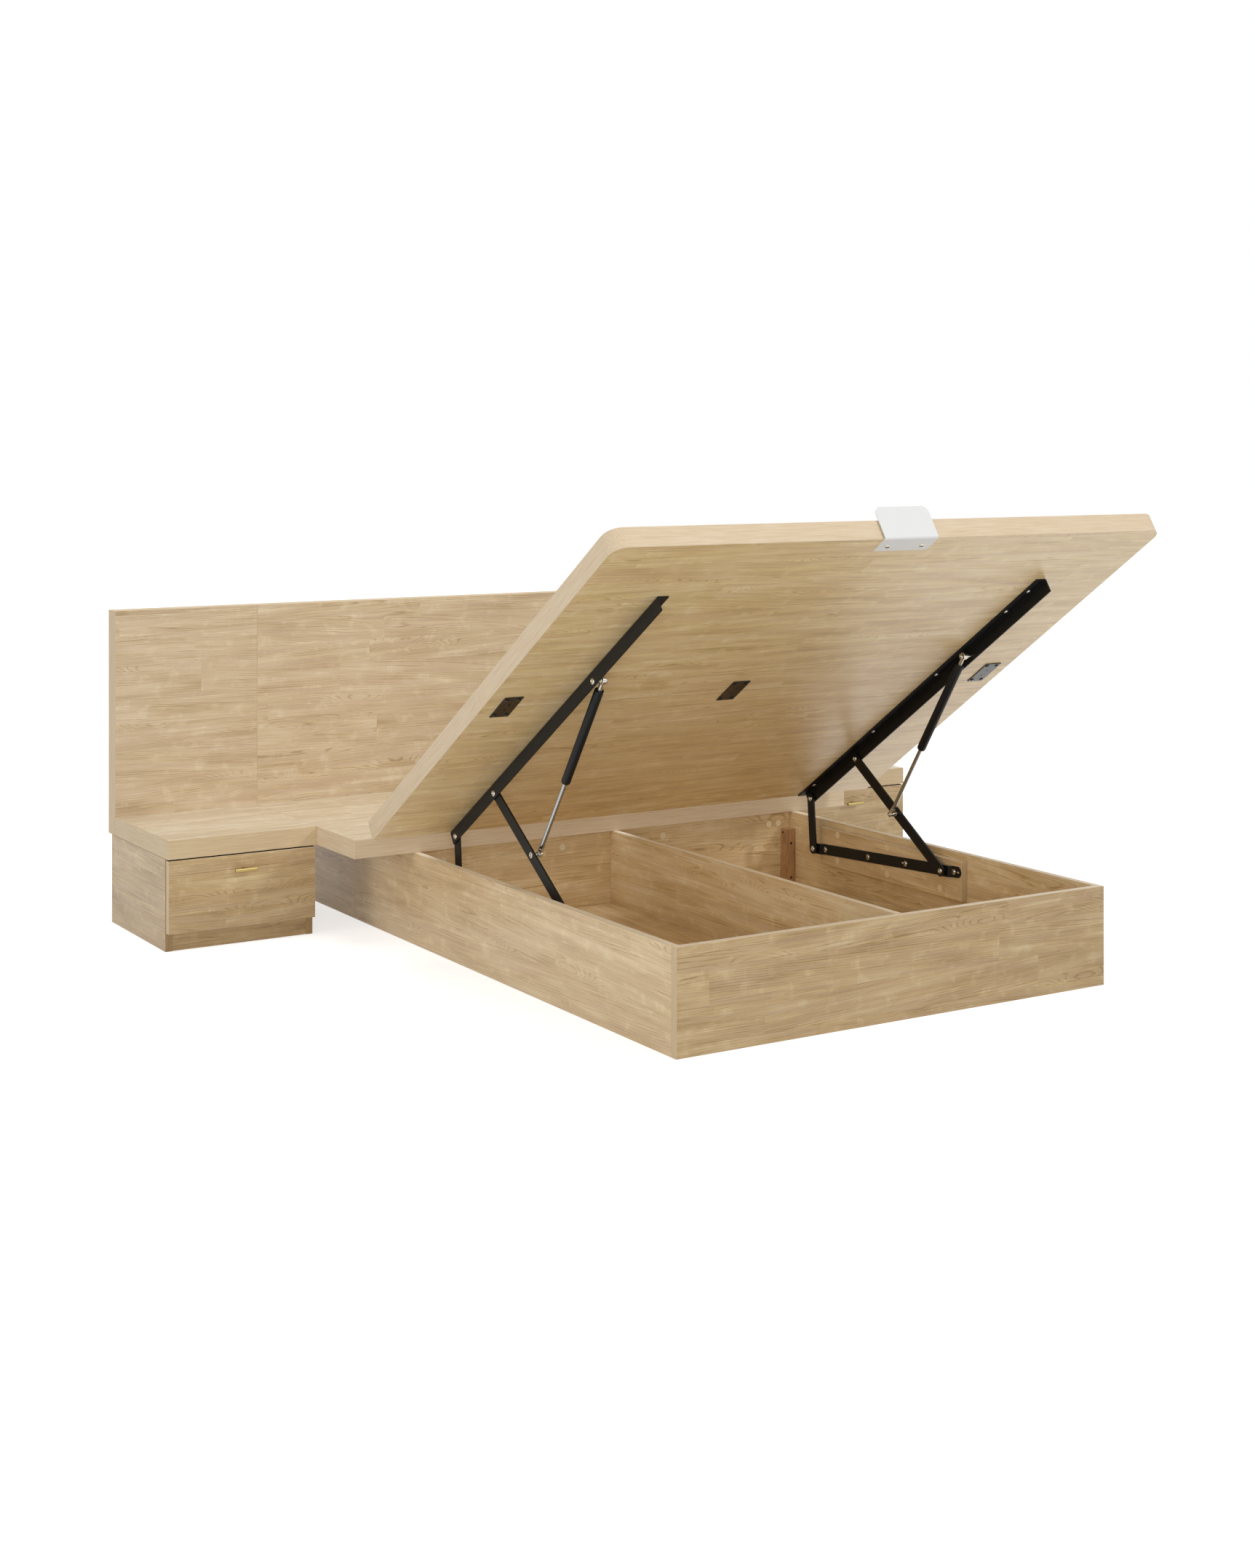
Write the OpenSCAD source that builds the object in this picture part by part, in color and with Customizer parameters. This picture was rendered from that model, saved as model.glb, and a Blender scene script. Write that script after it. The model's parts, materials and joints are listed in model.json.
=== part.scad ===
// Storage bed with a lift-up lid, a wide headboard and two attached nightstands.
// Millimetres. X runs across the bed, Y from the foot to the headboard, Z up.
// The origin lies on the floor, on the bed's centre line, midway along the base box.
// The lid is drawn open, as it stands on its two gas struts.

/* [Mattress platform] */
// Width of the fixed platform and of the lift-up lid
bed_w = 1500; // [1400:10:1800]
// Depth of the fixed platform in front of the headboard
deck_depth = 638; // [600:1:766]
// Length of the lift-up lid
lid_len = 1383; // [1250:1:1450]
// Thickness of the lid and of the platform
deck_t = 48; // [36:1:58]
// Gap between the closed lid and the platform
lid_gap = 3; // [2:0.5:6]
// Radius of the lid's two corners at the foot
lid_corner_r = 36; // [20:1:100]

/* [Base box] */
// Length of the base box, from the foot panel to the back panel
box_len = 1900; // [1800:10:2100]
// Width of the base box
box_w = 1175; // [1000:5:1300]
// Height of the base box and of the nightstand carcasses
box_h = 230; // [200:1:290]
// Thickness of the boards
board_t = 18; // [15:1:22]
// Distance from the platform's front edge back to the cross panel under it
cross_setback = 12; // [5:1:40]
// Side of the square floor battens
batten_w = 26; // [20:1:32]
// Side of the square corner posts
post_w = 30; // [20:1:30]
// Thickness of the floor panels
floor_t = 12; // [6:1:18]
// Height of the corner posts' tops above the floor
post_top = 185; // [150:1:190]

/* [Headboard] */
// Height of the headboard above the base box
head_h = 588; // [480:1:720]
// Thickness of the headboard
head_t = 54; // [40:1:60]
// How far the headboard stands over the carcasses' back edge
head_lap = 27; // [20:1:35]

/* [Nightstands] */
// Width of each nightstand top
stand_w = 393; // [330:1:480]
// Depth of each nightstand top
stand_depth = 405; // [360:1:480]
// How far the carcass stands back from the front edge of its top
stand_setback = 20; // [19:1:30]
// How far the carcass stands in from the platform's side
stand_inset = 3; // [2:1:20]
// Height of the plinth under each drawer
plinth_h = 50; // [30:1:70]
// How far the kick board stands back from the carcass edges
kick_setback = 3; // [1:1:15]
// Thickness of the back panels
back_t = 5; // [3:1:8]

/* [Drawers] */
// Gap between the nightstand top and the drawer front
drawer_top_gap = 3; // [2:0.5:10]
// How far the drawer front hangs below the carcass floor's top face
drawer_lip = 22; // [12:1:30]
// Thickness of the drawer box's walls
drawer_wall = 12; // [9:1:16]
// Height of the drawer box
drawer_box_h = 120; // [80:1:135]
// Length of the runners
runner_len = 350; // [300:10:380]
// How far a drawer pulls out
drawer_travel = 300; // [200:10:320]
// Length of the handle bar
handle_len = 58; // [40:1:160]
// Radius of the handle bar and its post
handle_r = 4.5; // [3:0.5:8]
// Distance from the drawer front to the middle of the handle bar
handle_out = 22; // [16:1:32]
// Depth of the handle below the top of the drawer front
handle_drop = 37; // [20:1:90]

/* [Lid lift] */
// Tilt of the open lid
open_angle = 33.4; // [20:0.1:36]
// Depth of the lid's pivots below its underside
pivot_drop = 21.5; // [18:0.5:24]
// Distance of the rear link's pivot from the lid's head edge
rear_pivot_in = 24; // [20:1:60]
// Distance of the lift arm's pivot from the lid's head edge
front_pivot_in = 266; // [240:1:300]
// Distance of the rear link's lower pivot from the platform's front edge
rear_base_in = 150; // [140:1:160]
// Distance of the lift arm's lower pivot from the platform's front edge
front_base_in = 698; // [680:1:720]
// Depth of the rear link's lower pivot below the box's top
rear_base_drop = 76.6; // [70:0.1:84]
// Depth of the lift arm's lower pivot below the box's top
front_base_drop = 47.5; // [42:0.1:56]
// Width of the links and base rails
link_w = 28; // [24:1:30]
// Thickness of the links
link_t = 4.5; // [3:0.5:6]
// Thickness of the base rails
rail_t = 3.5; // [2.5:0.5:5]
// Sideways bend of the base rails at their pivots
rail_joggle = 5.5; // [5:0.5:8]
// Width of the top rails' flange against the lid
flange_w = 30; // [26:1:40]
// Height of the top rails' web
web_h = 34; // [32:1:40]
// Thickness of the top rails
angle_t = 3; // [2:0.5:4]
// Distance of the top rails' far end from the lid's head edge
top_rail_end = 1172; // [1000:1:1200]
// Radius of the pivot pins
pin_r = 4; // [3:0.5:5]

/* [Gas struts] */
// Distance of the strut's upper stud from the lid's head edge
strut_pivot_in = 833; // [780:1:880]
// Distance of the strut's lower stud from the lift arm's lower pivot
strut_on_arm = 214; // [190:1:230]
// Length of the cylinder, from the upper stud to its mouth
tube_len = 302; // [270:1:312]
// Radius of the cylinder
tube_r = 11; // [8:0.5:11]
// Radius of the piston rod
rod_r = 5; // [3:0.5:5]
// Radius of the necks between the strut and its eye and socket
neck_r = 6; // [5:0.5:6]
// Distance from the lift arms in to the middle of the struts
strut_offset = 18.5; // [17:0.5:40]

/* [Lid fittings] */
// Width of the joining plates
plate_w = 47; // [30:1:60]
// Length of the joining plates
plate_len = 91; // [60:1:120]
// Places of the joining plates across the lid
plate_xs = [-688, -81, 688];
// Width of the mattress stop
stop_w = 146; // [80:1:200]
// Length of the mattress stop's upright plate
stop_h = 75; // [56:1:110]
// Outward lean of the mattress stop's plate
stop_lean = 0; // [0:1:20]
// Depth of the mattress stop's flange under the lid
stop_flange = 47; // [25:1:60]
// Thickness of the mattress stop
stop_t = 2.5; // [2:0.5:4]

/* [Hidden] */
$fn = 48;
oak = [0.80, 0.69, 0.52];
oak_dark = [0.66, 0.53, 0.37];
plywood = [0.76, 0.66, 0.50];
black_steel = [0.13, 0.13, 0.14];
zinc = [0.75, 0.74, 0.72];
brass = [0.78, 0.65, 0.36];
white_paint = [0.90, 0.90, 0.89];
sticker = [0.78, 0.68, 0.50];

// Clearances
fit = 0.05;        // round pin in its hole, on the radius
face_gap = 0.3;    // faces that slide past each other
seat_gap = 0.5;    // closed lid above the box, panels between others
drawer_gap = 2;    // drawer front to the carcass edge
drawer_side = 1;   // drawer front's end to the carcass side
ball_gap = 0.6;    // runner member inside runner member, filled by the balls

// Planes along the bed
foot_y = -box_len / 2;
back_y = box_len / 2;
head_y = back_y - head_lap;
deck_y = head_y - deck_depth;
stand_y = head_y - stand_depth;
cross_y = deck_y + cross_setback;

// Planes across the bed
side_in = box_w / 2 - board_t;
board_in = side_in - board_t;
stand_out = bed_w / 2 + stand_w;
stand_in = bed_w / 2 + stand_inset;

// Layers of the lift on the right-hand side, from the box inwards
rail_in = board_in - rail_t;
ear_out = board_in - rail_joggle;
ear_in = ear_out - rail_t;
web_out = ear_in - 0.5;
web_in = web_out - angle_t;
link_out = web_in - 1;
link_in = link_out - link_t;
strut_x = link_in - strut_offset;
flange_mid = web_out - flange_w / 2;

// Lid seats and pivots, as [y, z]
closed_edge = [deck_y - lid_gap, box_h + seat_gap];
rear_base = [deck_y - rear_base_in, box_h - rear_base_drop];
front_base = [deck_y - front_base_in, box_h - front_base_drop];
rear_closed = closed_edge - [rear_pivot_in, pivot_drop];
front_closed = closed_edge - [front_pivot_in, pivot_drop];
rear_len = norm(rear_closed - rear_base);
arm_len = norm(front_closed - front_base);
along_lid = [-cos(open_angle), sin(open_angle)];
off_lid = [sin(open_angle), cos(open_angle)];
coupler = (front_pivot_in - rear_pivot_in) * along_lid;
rear_top = upper_meeting(rear_base, rear_len, front_base - coupler, arm_len);
front_top = rear_top + coupler;
lid_edge = rear_top - rear_pivot_in * along_lid + pivot_drop * off_lid;
strut_top = lid_edge + strut_pivot_in * along_lid - pivot_drop * off_lid;
strut_foot = front_base + strut_on_arm * (front_top - front_base) / arm_len;
strut_len = norm(strut_top - strut_foot);
strut_closed_len = norm(closed_edge - [strut_pivot_in, pivot_drop] - front_base
    - strut_on_arm * (front_closed - front_base) / arm_len);
rail_len = norm(front_base - rear_base);

// Pivot and strut details
head_r = 7.5;          // rivet heads
head_t2 = 3;           // height of the rivet heads
bush_r = 8;            // spacers between base rail and link
eye_r = 9;             // strut's upper eye
eye_t = 12;            // width of the strut's eyes
socket_r = 5.5;        // strut's lower socket
nut_r = 7;             // across the corners of the strut studs' nuts
nut_t = 4;
tube_wall = 1.4;
tube_head = 33;        // solid end of the cylinder, from the stud
gland_len = 14;        // guide at the cylinder's mouth
piston_len = 12;

// Base rail: places along it from the rear pivot, and its bends
rail_tail = 62;        // past the lift arm's pivot
rail_bolts = [38.5, 229.5, 389.5, rail_len + 37];
rail_slots = [375, rail_len + 51];
slot_l = 9;
slot_r = 2.5;
ear_back = 22;         // flat of the rear ear in front of its pivot
ear_half = 20;         // half the flat of the front ear
ramp = 9;              // length of each bend
bolt_r = 3;
bolt_head_r = 7.5;
bolt_head_t = 3.4;

// Hinge boards: places measured from the lift arm's lower pivot
board_front = 62.6;
board_len = 600;
board_h = 100;
board_drop = 17;       // below the box's top
cap_r = 8.5;
cap_t = 0.6;
cap_places = [[63, 11], [241, 11], [459, 11], [23, 80], [241, 80], [459, 80]];
cross_cap_xs = [-532, -500, -155, 155, 500, 532];
cross_cap_drop = 30;

// Screws
screw_r = 2.2;
screw_head_r = 5;
screw_head_t = 2.4;
rail_screws = [70, 387, 700, 1020, 1117];
stop_screw_x = 47;
stop_screw_y = 28;
plate_hole_x = 15;
plate_hole_y = 36;
plate_mid_y = 13;
plate_t = 2.5;

// Nightstand carcass and drawer
stand_front = stand_y + stand_setback;
drawer_front_z = plinth_h + board_t - drawer_lip;
drawer_front_h = box_h - drawer_top_gap - drawer_front_z;
drawer_x0 = stand_in + drawer_side;
drawer_x1 = stand_out - drawer_side;
drawer_mid = (drawer_x0 + drawer_x1) / 2;
runner_t = 12.7;
runner_h = 45;
runner_wall = 1.2;
bay_x0 = stand_in + board_t;
bay_x1 = stand_out - board_t;
box_x0 = bay_x0 + runner_t;
box_x1 = bay_x1 - runner_t;
drawer_box_z = plinth_h + board_t + 8;
drawer_back_y = stand_front + runner_len + 20;
runner_z = drawer_box_z + 45;
bottom_t = 5;
bottom_rise = 10;
groove = 6;
back_in = 12;          // back panels in from the carcass's back edge

floor_z = batten_w + floor_t;

// ---- Helpers ----

// The higher point where two circles meet, the first circle standing behind the second
function upper_meeting(c1, r1, c2, r2) =
    let (d = norm(c2 - c1), e = (c2 - c1) / d, a = (r1 * r1 - r2 * r2 + d * d) / (2 * d))
    c1 + a * e + sqrt(r1 * r1 - a * a) * [e[1], -e[0]];

// What is drawn for the right-hand side, or its mirror image for the left
module on_side(side) {
    if (side > 0) children();
    else mirror([1, 0, 0]) children();
}

module both_sides() {
    for (side = [-1, 1]) on_side(side) children();
}

// A box between two corners
module block(low, high) {
    translate(low) cube(high - low);
}

// A cylinder along X between two planes, at [y, z]
module round_x(at, x0, x1, r) {
    translate([x0, at[0], at[1]]) rotate([0, 90, 0]) cylinder(r = r, h = x1 - x0);
}

// A frame whose Y axis runs from one [y, z] point to another
module along(from, to) {
    translate([0, from[0], from[1]])
        rotate([atan2(to[1] - from[1], to[0] - from[0]), 0, 0]) children();
}

// The lid's own frame: head edge at Y 0, foot end at -lid_len, underside at Z 0
module in_lid() {
    translate([0, lid_edge[0], lid_edge[1]]) rotate([-open_angle, 0, 0]) children();
}

// A rivet head, domed away from x0 towards x1
module rivet_head(at, x0, x1) {
    flat = x0 + (x1 - x0) * 0.4;
    translate([x0, at[0], at[1]]) rotate([0, 90, 0])
        if (x1 > x0) {
            cylinder(r = head_r, h = flat - x0);
            translate([0, 0, flat - x0]) cylinder(r1 = head_r, r2 = head_r * 0.55, h = x1 - flat);
        } else mirror([0, 0, 1]) {
            cylinder(r = head_r, h = x0 - flat);
            translate([0, 0, x0 - flat]) cylinder(r1 = head_r, r2 = head_r * 0.55, h = flat - x1);
        }
}

// A pan head standing on Z 0 and pointing down, with its shank up through a plate
module pan_screw(plate) {
    mirror([0, 0, 1]) {
        cylinder(r = screw_head_r, h = screw_head_t * 0.5);
        translate([0, 0, screw_head_t * 0.5])
            cylinder(r1 = screw_head_r, r2 = screw_head_r * 0.6, h = screw_head_t * 0.5);
    }
    cylinder(r = screw_r, h = plate);
}

// ---- Base box ----

module side_panel(side) {
    color(oak) on_side(side)
        block([side_in, foot_y + board_t, 0], [box_w / 2, back_y, box_h]);
}

module foot_panel() {
    color(oak) block([-box_w / 2, foot_y, 0], [box_w / 2, foot_y + board_t, box_h]);
}

module head_cross_panel() {
    color(oak) block([-side_in, cross_y, 0], [side_in, cross_y + board_t, box_h]);
}

module divider(y0, y1) {
    color(oak) block([-board_t / 2, y0, 0], [board_t / 2, y1, box_h]);
}

module rear_panel() {
    color(oak) block([-side_in, back_y - board_t, 0], [side_in, back_y, box_h]);
}

module floor_panel(side) {
    color(plywood) on_side(side)
        block([board_t / 2 + seat_gap, foot_y + board_t + seat_gap, batten_w],
            [side_in - seat_gap, cross_y - seat_gap, floor_z]);
}

module floor_battens() {
    y0 = foot_y + board_t;
    color(plywood) both_sides()
        for (x = [board_t / 2, side_in - batten_w])
            block([x, y0, 0], [x + batten_w, cross_y, batten_w]);
}

module corner_posts() {
    color(plywood) both_sides()
        for (y = [foot_y + board_t, cross_y - post_w])
            block([side_in - post_w, y, floor_z], [side_in, y + post_w, post_top]);
}

board_y = front_base[0] - board_front;
board_top = box_h - board_drop;

module hinge_board(side) {
    color(oak) on_side(side)
        block([board_in, board_y, board_top - board_h], [side_in, board_y + board_len, board_top]);
}

module screw_caps() {
    color(sticker) {
        both_sides()
            for (place = cap_places)
                round_x([front_base[0] + place[0], board_top - place[1]],
                    board_in - cap_t, board_in, cap_r);
        for (x = cross_cap_xs)
            translate([x, cross_y - cap_t, box_h - cross_cap_drop])
                rotate([-90, 0, 0]) cylinder(r = cap_r, h = cap_t);
    }
}

// ---- Platform and headboard ----

module platform_center() {
    color(oak) block([-bed_w / 2, deck_y, box_h], [bed_w / 2, head_y, box_h + deck_t]);
}

module nightstand_top(side) {
    color(oak) on_side(side)
        block([bed_w / 2, stand_y, box_h], [stand_out, head_y, box_h + deck_t]);
}

module headboard_panel(x0, x1) {
    color(oak) block([x0, head_y, box_h], [x1, head_y + head_t, box_h + head_h]);
}

module headboard_plates() {
    for (x = [-bed_w / 2, bed_w / 2], z = [0.25, 0.75])
        translate([x, head_y + head_t, box_h + head_h * z]) rotate([0, 90, 0]) rotate([90, 0, 0])
            joining_plate();
}

// ---- Nightstands ----

module nightstand_side(side, outer) {
    x0 = outer ? stand_out - board_t : stand_in;
    color(oak) on_side(side)
        difference() {
            block([x0, stand_front, 0], [x0 + board_t, back_y, box_h]);
            block([outer ? x0 - 1 : x0 + board_t - groove, back_y - back_in - back_t, plinth_h],
                [outer ? x0 + groove : x0 + board_t + 1, back_y - back_in, box_h + 1]);
        }
}

module nightstand_floors() {
    color(oak) both_sides()
        block([bay_x0, stand_front, plinth_h], [bay_x1, back_y - back_in - back_t, plinth_h + board_t]);
}

module nightstand_kick_boards() {
    y0 = stand_front + kick_setback;
    color(oak) both_sides() block([bay_x0, y0, 0], [bay_x1, y0 + board_t, plinth_h]);
}

module nightstand_back_panels() {
    color(plywood) both_sides()
        block([bay_x0 - groove + face_gap, back_y - back_in - back_t, plinth_h],
            [bay_x1 + groove - face_gap, back_y - back_in, box_h]);
}

// ---- Drawers ----

module drawer_front(side) {
    color(oak) on_side(side)
        block([drawer_x0, stand_y, drawer_front_z],
            [drawer_x1, stand_front - drawer_gap, drawer_front_z + drawer_front_h]);
}

// Two sides, a back and a sub-front, with the bottom in their grooves
module drawer_box(side) {
    y0 = stand_front - drawer_gap;
    z1 = drawer_box_z + drawer_box_h;
    floor_low = drawer_box_z + bottom_rise;
    color(plywood) on_side(side) {
        for (x = [box_x0, box_x1 - drawer_wall])
            difference() {
                block([x, y0, drawer_box_z], [x + drawer_wall, drawer_back_y, z1]);
                block([x == box_x0 ? x + drawer_wall / 2 : x - 1, y0 - 1, floor_low],
                    [x == box_x0 ? x + drawer_wall + 1 : x + drawer_wall / 2, drawer_back_y + 1,
                        floor_low + bottom_t]);
            }
        for (y = [y0, drawer_back_y - drawer_wall])
            block([box_x0 + drawer_wall, y, floor_low + bottom_t],
                [box_x1 - drawer_wall, y + drawer_wall, z1]);
        block([box_x0 + drawer_wall / 2, y0, floor_low],
            [box_x1 - drawer_wall / 2, drawer_back_y, floor_low + bottom_t]);
    }
}

// A bar on a single post
module drawer_handle(side) {
    z = drawer_front_z + drawer_front_h - handle_drop;
    bevel = 1;
    color(brass) on_side(side) translate([drawer_mid, stand_y, z]) {
        rotate([90, 0, 0]) cylinder(r = handle_r - 0.5, h = handle_out);
        translate([0, -handle_out, 0]) rotate([0, 90, 0]) {
            translate([0, 0, -handle_len / 2 + bevel])
                cylinder(r = handle_r, h = handle_len - 2 * bevel);
            for (end = [0, 1]) mirror([0, 0, end])
                translate([0, 0, handle_len / 2 - bevel])
                    cylinder(r1 = handle_r, r2 = handle_r - bevel, h = bevel);
        }
    }
}

// A channel lying along Y: a web with two lips, drawn in X and Z
module channel(x_web, x_lip, h) {
    translate([0, stand_front + 2, runner_z]) {
        block([min(x_web, x_web + runner_wall), 0, -h / 2], [x_web + runner_wall, runner_len, h / 2]);
        for (lip = [-1, 1]) mirror([0, 0, lip < 0 ? 1 : 0])
            block([min(x_web, x_lip), 0, h / 2 - runner_wall],
                [max(x_web + runner_wall, x_lip), runner_len, h / 2]);
    }
}

// Both sides of one drawer's bay, for a member drawn against a wall at X 0
module in_bay() {
    translate([bay_x0, 0, 0]) children();
    translate([bay_x1, 0, 0]) mirror([1, 0, 0]) children();
}

middle_h = runner_h - 2 * (runner_wall + ball_gap);
inner_h = middle_h - 2 * (runner_wall + ball_gap);

module cabinet_runners() {
    color(zinc) both_sides() in_bay() channel(0, runner_t - runner_wall - ball_gap, runner_h);
}

module middle_runners(side) {
    web = (runner_t - runner_wall) / 2;
    color(zinc) on_side(side) in_bay() {
        channel(web, runner_t - runner_wall - ball_gap, middle_h);
        channel(web, runner_wall + ball_gap, middle_h);
    }
}

module drawer_runners(side) {
    web = (runner_t - runner_wall) / 2;
    color(zinc) on_side(side) in_bay()
        channel(runner_t - runner_wall, web + runner_wall + ball_gap, inner_h);
}

// ---- Lid ----

// The foot panel's outline has its two outer corners rounded
module lid_panel(y0, y1, r) {
    color(oak) in_lid()
        if (r > 0)
            difference() {
                block([-bed_w / 2, y0, 0], [bed_w / 2, y1, deck_t]);
                both_sides()
                    difference() {
                        block([bed_w / 2 - r, y0 - 1, -1], [bed_w / 2 + 1, y0 + r, deck_t + 1]);
                        translate([bed_w / 2 - r, y0 + r, -2]) cylinder(r = r, h = deck_t + 4);
                    }
            }
        else block([-bed_w / 2, y0, 0], [bed_w / 2, y1, deck_t]);
}

// Drawn on the XY plane, its long side along Y, its screws pointing down
module joining_plate() {
    color(black_steel) mirror([0, 0, 1]) difference() {
        block([-plate_w / 2, -plate_len / 2, 0], [plate_w / 2, plate_len / 2, plate_t]);
        for (x = [-plate_hole_x, plate_hole_x], y = [-plate_hole_y, plate_hole_y])
            translate([x, y, -1]) cylinder(r = screw_r, h = plate_t + 2);
        for (y = [-plate_mid_y, plate_mid_y])
            translate([0, y, -1]) cylinder(r = screw_r, h = plate_t + 2);
    }
    color(zinc) for (x = [-plate_hole_x, plate_hole_x], y = [-plate_hole_y, plate_hole_y])
        translate([x, y, -plate_t]) pan_screw(plate_t);
}

module joining_plates() {
    in_lid() for (x = plate_xs) translate([x, -lid_len / 2, 0]) joining_plate();
}

// Steel angle with a rounded bend, its flange against the lid and its web outwards
module angle_profile() {
    bend_r = angle_t + 1.5;
    translate([-web_out, 0]) {
        translate([bend_r, -angle_t]) square([flange_w - bend_r, angle_t]);
        translate([0, -web_h]) square([angle_t, web_h - bend_r]);
        translate([bend_r, -bend_r]) intersection() {
            difference() {
                circle(r = bend_r);
                circle(r = bend_r - angle_t);
            }
            translate([-bend_r, 0]) square(bend_r);
        }
    }
}

module top_rail(side) {
    start = 4;
    color(black_steel) on_side(side) in_lid()
        difference() {
            mirror([1, 0, 0]) translate([0, -start, 0]) rotate([90, 0, 0])
                linear_extrude(top_rail_end - start) angle_profile();
            for (y = [rear_pivot_in, front_pivot_in, strut_pivot_in])
                round_x([-y, -pivot_drop], web_in - 1, web_out + 1, pin_r + fit);
            for (y = rail_screws)
                translate([flange_mid, -y, -angle_t - 1]) cylinder(r = screw_r + fit, h = angle_t + 2);
        }
}

module lid_screws() {
    color(zinc) in_lid() {
        both_sides() {
            for (y = rail_screws) translate([flange_mid, -y, -angle_t]) pan_screw(angle_t);
            // Rivet of the lift arm, whose shank ends in the web
            round_x([-front_pivot_in, -pivot_drop], web_in, web_out, pin_r);
            rivet_head([-front_pivot_in, -pivot_drop], web_out, web_out + head_t2 * 0.8);
        }
        for (x = [-stop_screw_x, stop_screw_x])
            translate([x, stop_screw_y - lid_len, -stop_t]) pan_screw(stop_t);
    }
}

// Bent sheet: a flange under the lid and a leaning plate past its end
module mattress_stop() {
    corner = 16;
    inner = 3;
    lap = 0.02;
    top = stop_h - corner;
    turn = 90 - stop_lean;
    color(white_paint) in_lid() translate([0, -lid_len, 0]) {
        difference() {
            block([-stop_w / 2, -lap, -stop_t], [stop_w / 2, stop_flange, 0]);
            for (x = [-stop_screw_x, stop_screw_x])
                translate([x, stop_screw_y, -stop_t - 1]) cylinder(r = screw_r + fit, h = stop_t + 2);
        }
        translate([0, 0, inner]) {
            rotate([0, 90, 0]) rotate([0, 0, -turn]) rotate_extrude(angle = turn)
                translate([inner, -stop_w / 2]) square([stop_t, stop_w]);
            rotate([stop_lean, 0, 0]) translate([0, -inner - stop_t, 0]) {
                block([-stop_w / 2, 0, -lap], [stop_w / 2, stop_t, top]);
                block([corner - stop_w / 2, 0, top], [stop_w / 2 - corner, stop_t, stop_h]);
                both_sides() translate([stop_w / 2 - corner, 0, top]) intersection() {
                    rotate([-90, 0, 0]) cylinder(r = corner, h = stop_t);
                    cube([corner, stop_t, corner]);
                }
            }
        }
    }
}

module strut_upper_studs() {
    color(zinc) both_sides() in_lid() {
        at = [-strut_pivot_in, -pivot_drop];
        rivet_head(at, web_out, web_out + head_t2 * 0.8);
        round_x(at, strut_x - eye_t / 2 - face_gap, web_out, pin_r);
        round_x(at, strut_x + eye_t / 2 + face_gap, strut_x + eye_t / 2 + face_gap + 3, pin_r + 3);
        translate([strut_x - eye_t / 2 - face_gap - nut_t, at[0], at[1]]) rotate([0, 90, 0])
            cylinder(r = nut_r, h = nut_t, $fn = 6);
    }
}

// ---- Lift arms and rear links ----

module link_plate(length, holes) {
    difference() {
        union() {
            block([link_in, 0, -link_w / 2], [link_out, length, link_w / 2]);
            for (y = [0, length]) round_x([y, 0], link_in, link_out, link_w / 2);
        }
        for (y = holes) round_x([y, 0], link_in - 1, link_out + 1, pin_r + fit);
    }
}

module lift_arm(side) {
    color(black_steel) on_side(side) along(front_base, front_top)
        link_plate(arm_len, [0, strut_on_arm, arm_len]);
}

module rear_link(side) {
    color(black_steel) on_side(side) along(rear_base, rear_top)
        link_plate(rear_len, [0, rear_len]);
}

// A pin from a base rail's ear to a link, with a spacer between them
module base_pin(at) {
    rivet_head(at, ear_out + face_gap, ear_out + face_gap + 2.2);
    round_x(at, link_in, ear_out + face_gap, pin_r);
    difference() {
        round_x(at, link_out, ear_in - face_gap, bush_r);
        round_x(at, link_out - 1, ear_in, pin_r);
    }
    rivet_head(at, link_in, link_in - head_t2);
}

module lift_arm_pins() {
    color(zinc) both_sides() {
        base_pin(front_base);
        // The upper pin stops short of the top rail, beside the rivet that it meets
        rivet_head(front_top, link_in, link_in - head_t2);
        round_x(front_top, link_in, link_out, pin_r);
        round_x(front_top, link_out, web_in - face_gap, bush_r);
        // Stud that carries the strut's foot, ending beside its socket
        rivet_head(strut_foot, link_out, link_out + 0.7);
        round_x(strut_foot, strut_x + eye_t / 2 + face_gap, link_out, pin_r);
        translate([link_in - nut_t, strut_foot[0], strut_foot[1]]) rotate([0, 90, 0])
            cylinder(r = nut_r, h = nut_t, $fn = 6);
    }
}

module rear_link_pins() {
    color(zinc) both_sides() {
        base_pin(rear_base);
        // Pivot on the lid, through the top rail's web
        rivet_head(rear_top, link_in, link_in - head_t2);
        round_x(rear_top, link_in, web_out + face_gap, pin_r);
        rivet_head(rear_top, web_out + face_gap, web_out + face_gap + 2.2);
    }
}

// ---- Base rails ----

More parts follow.
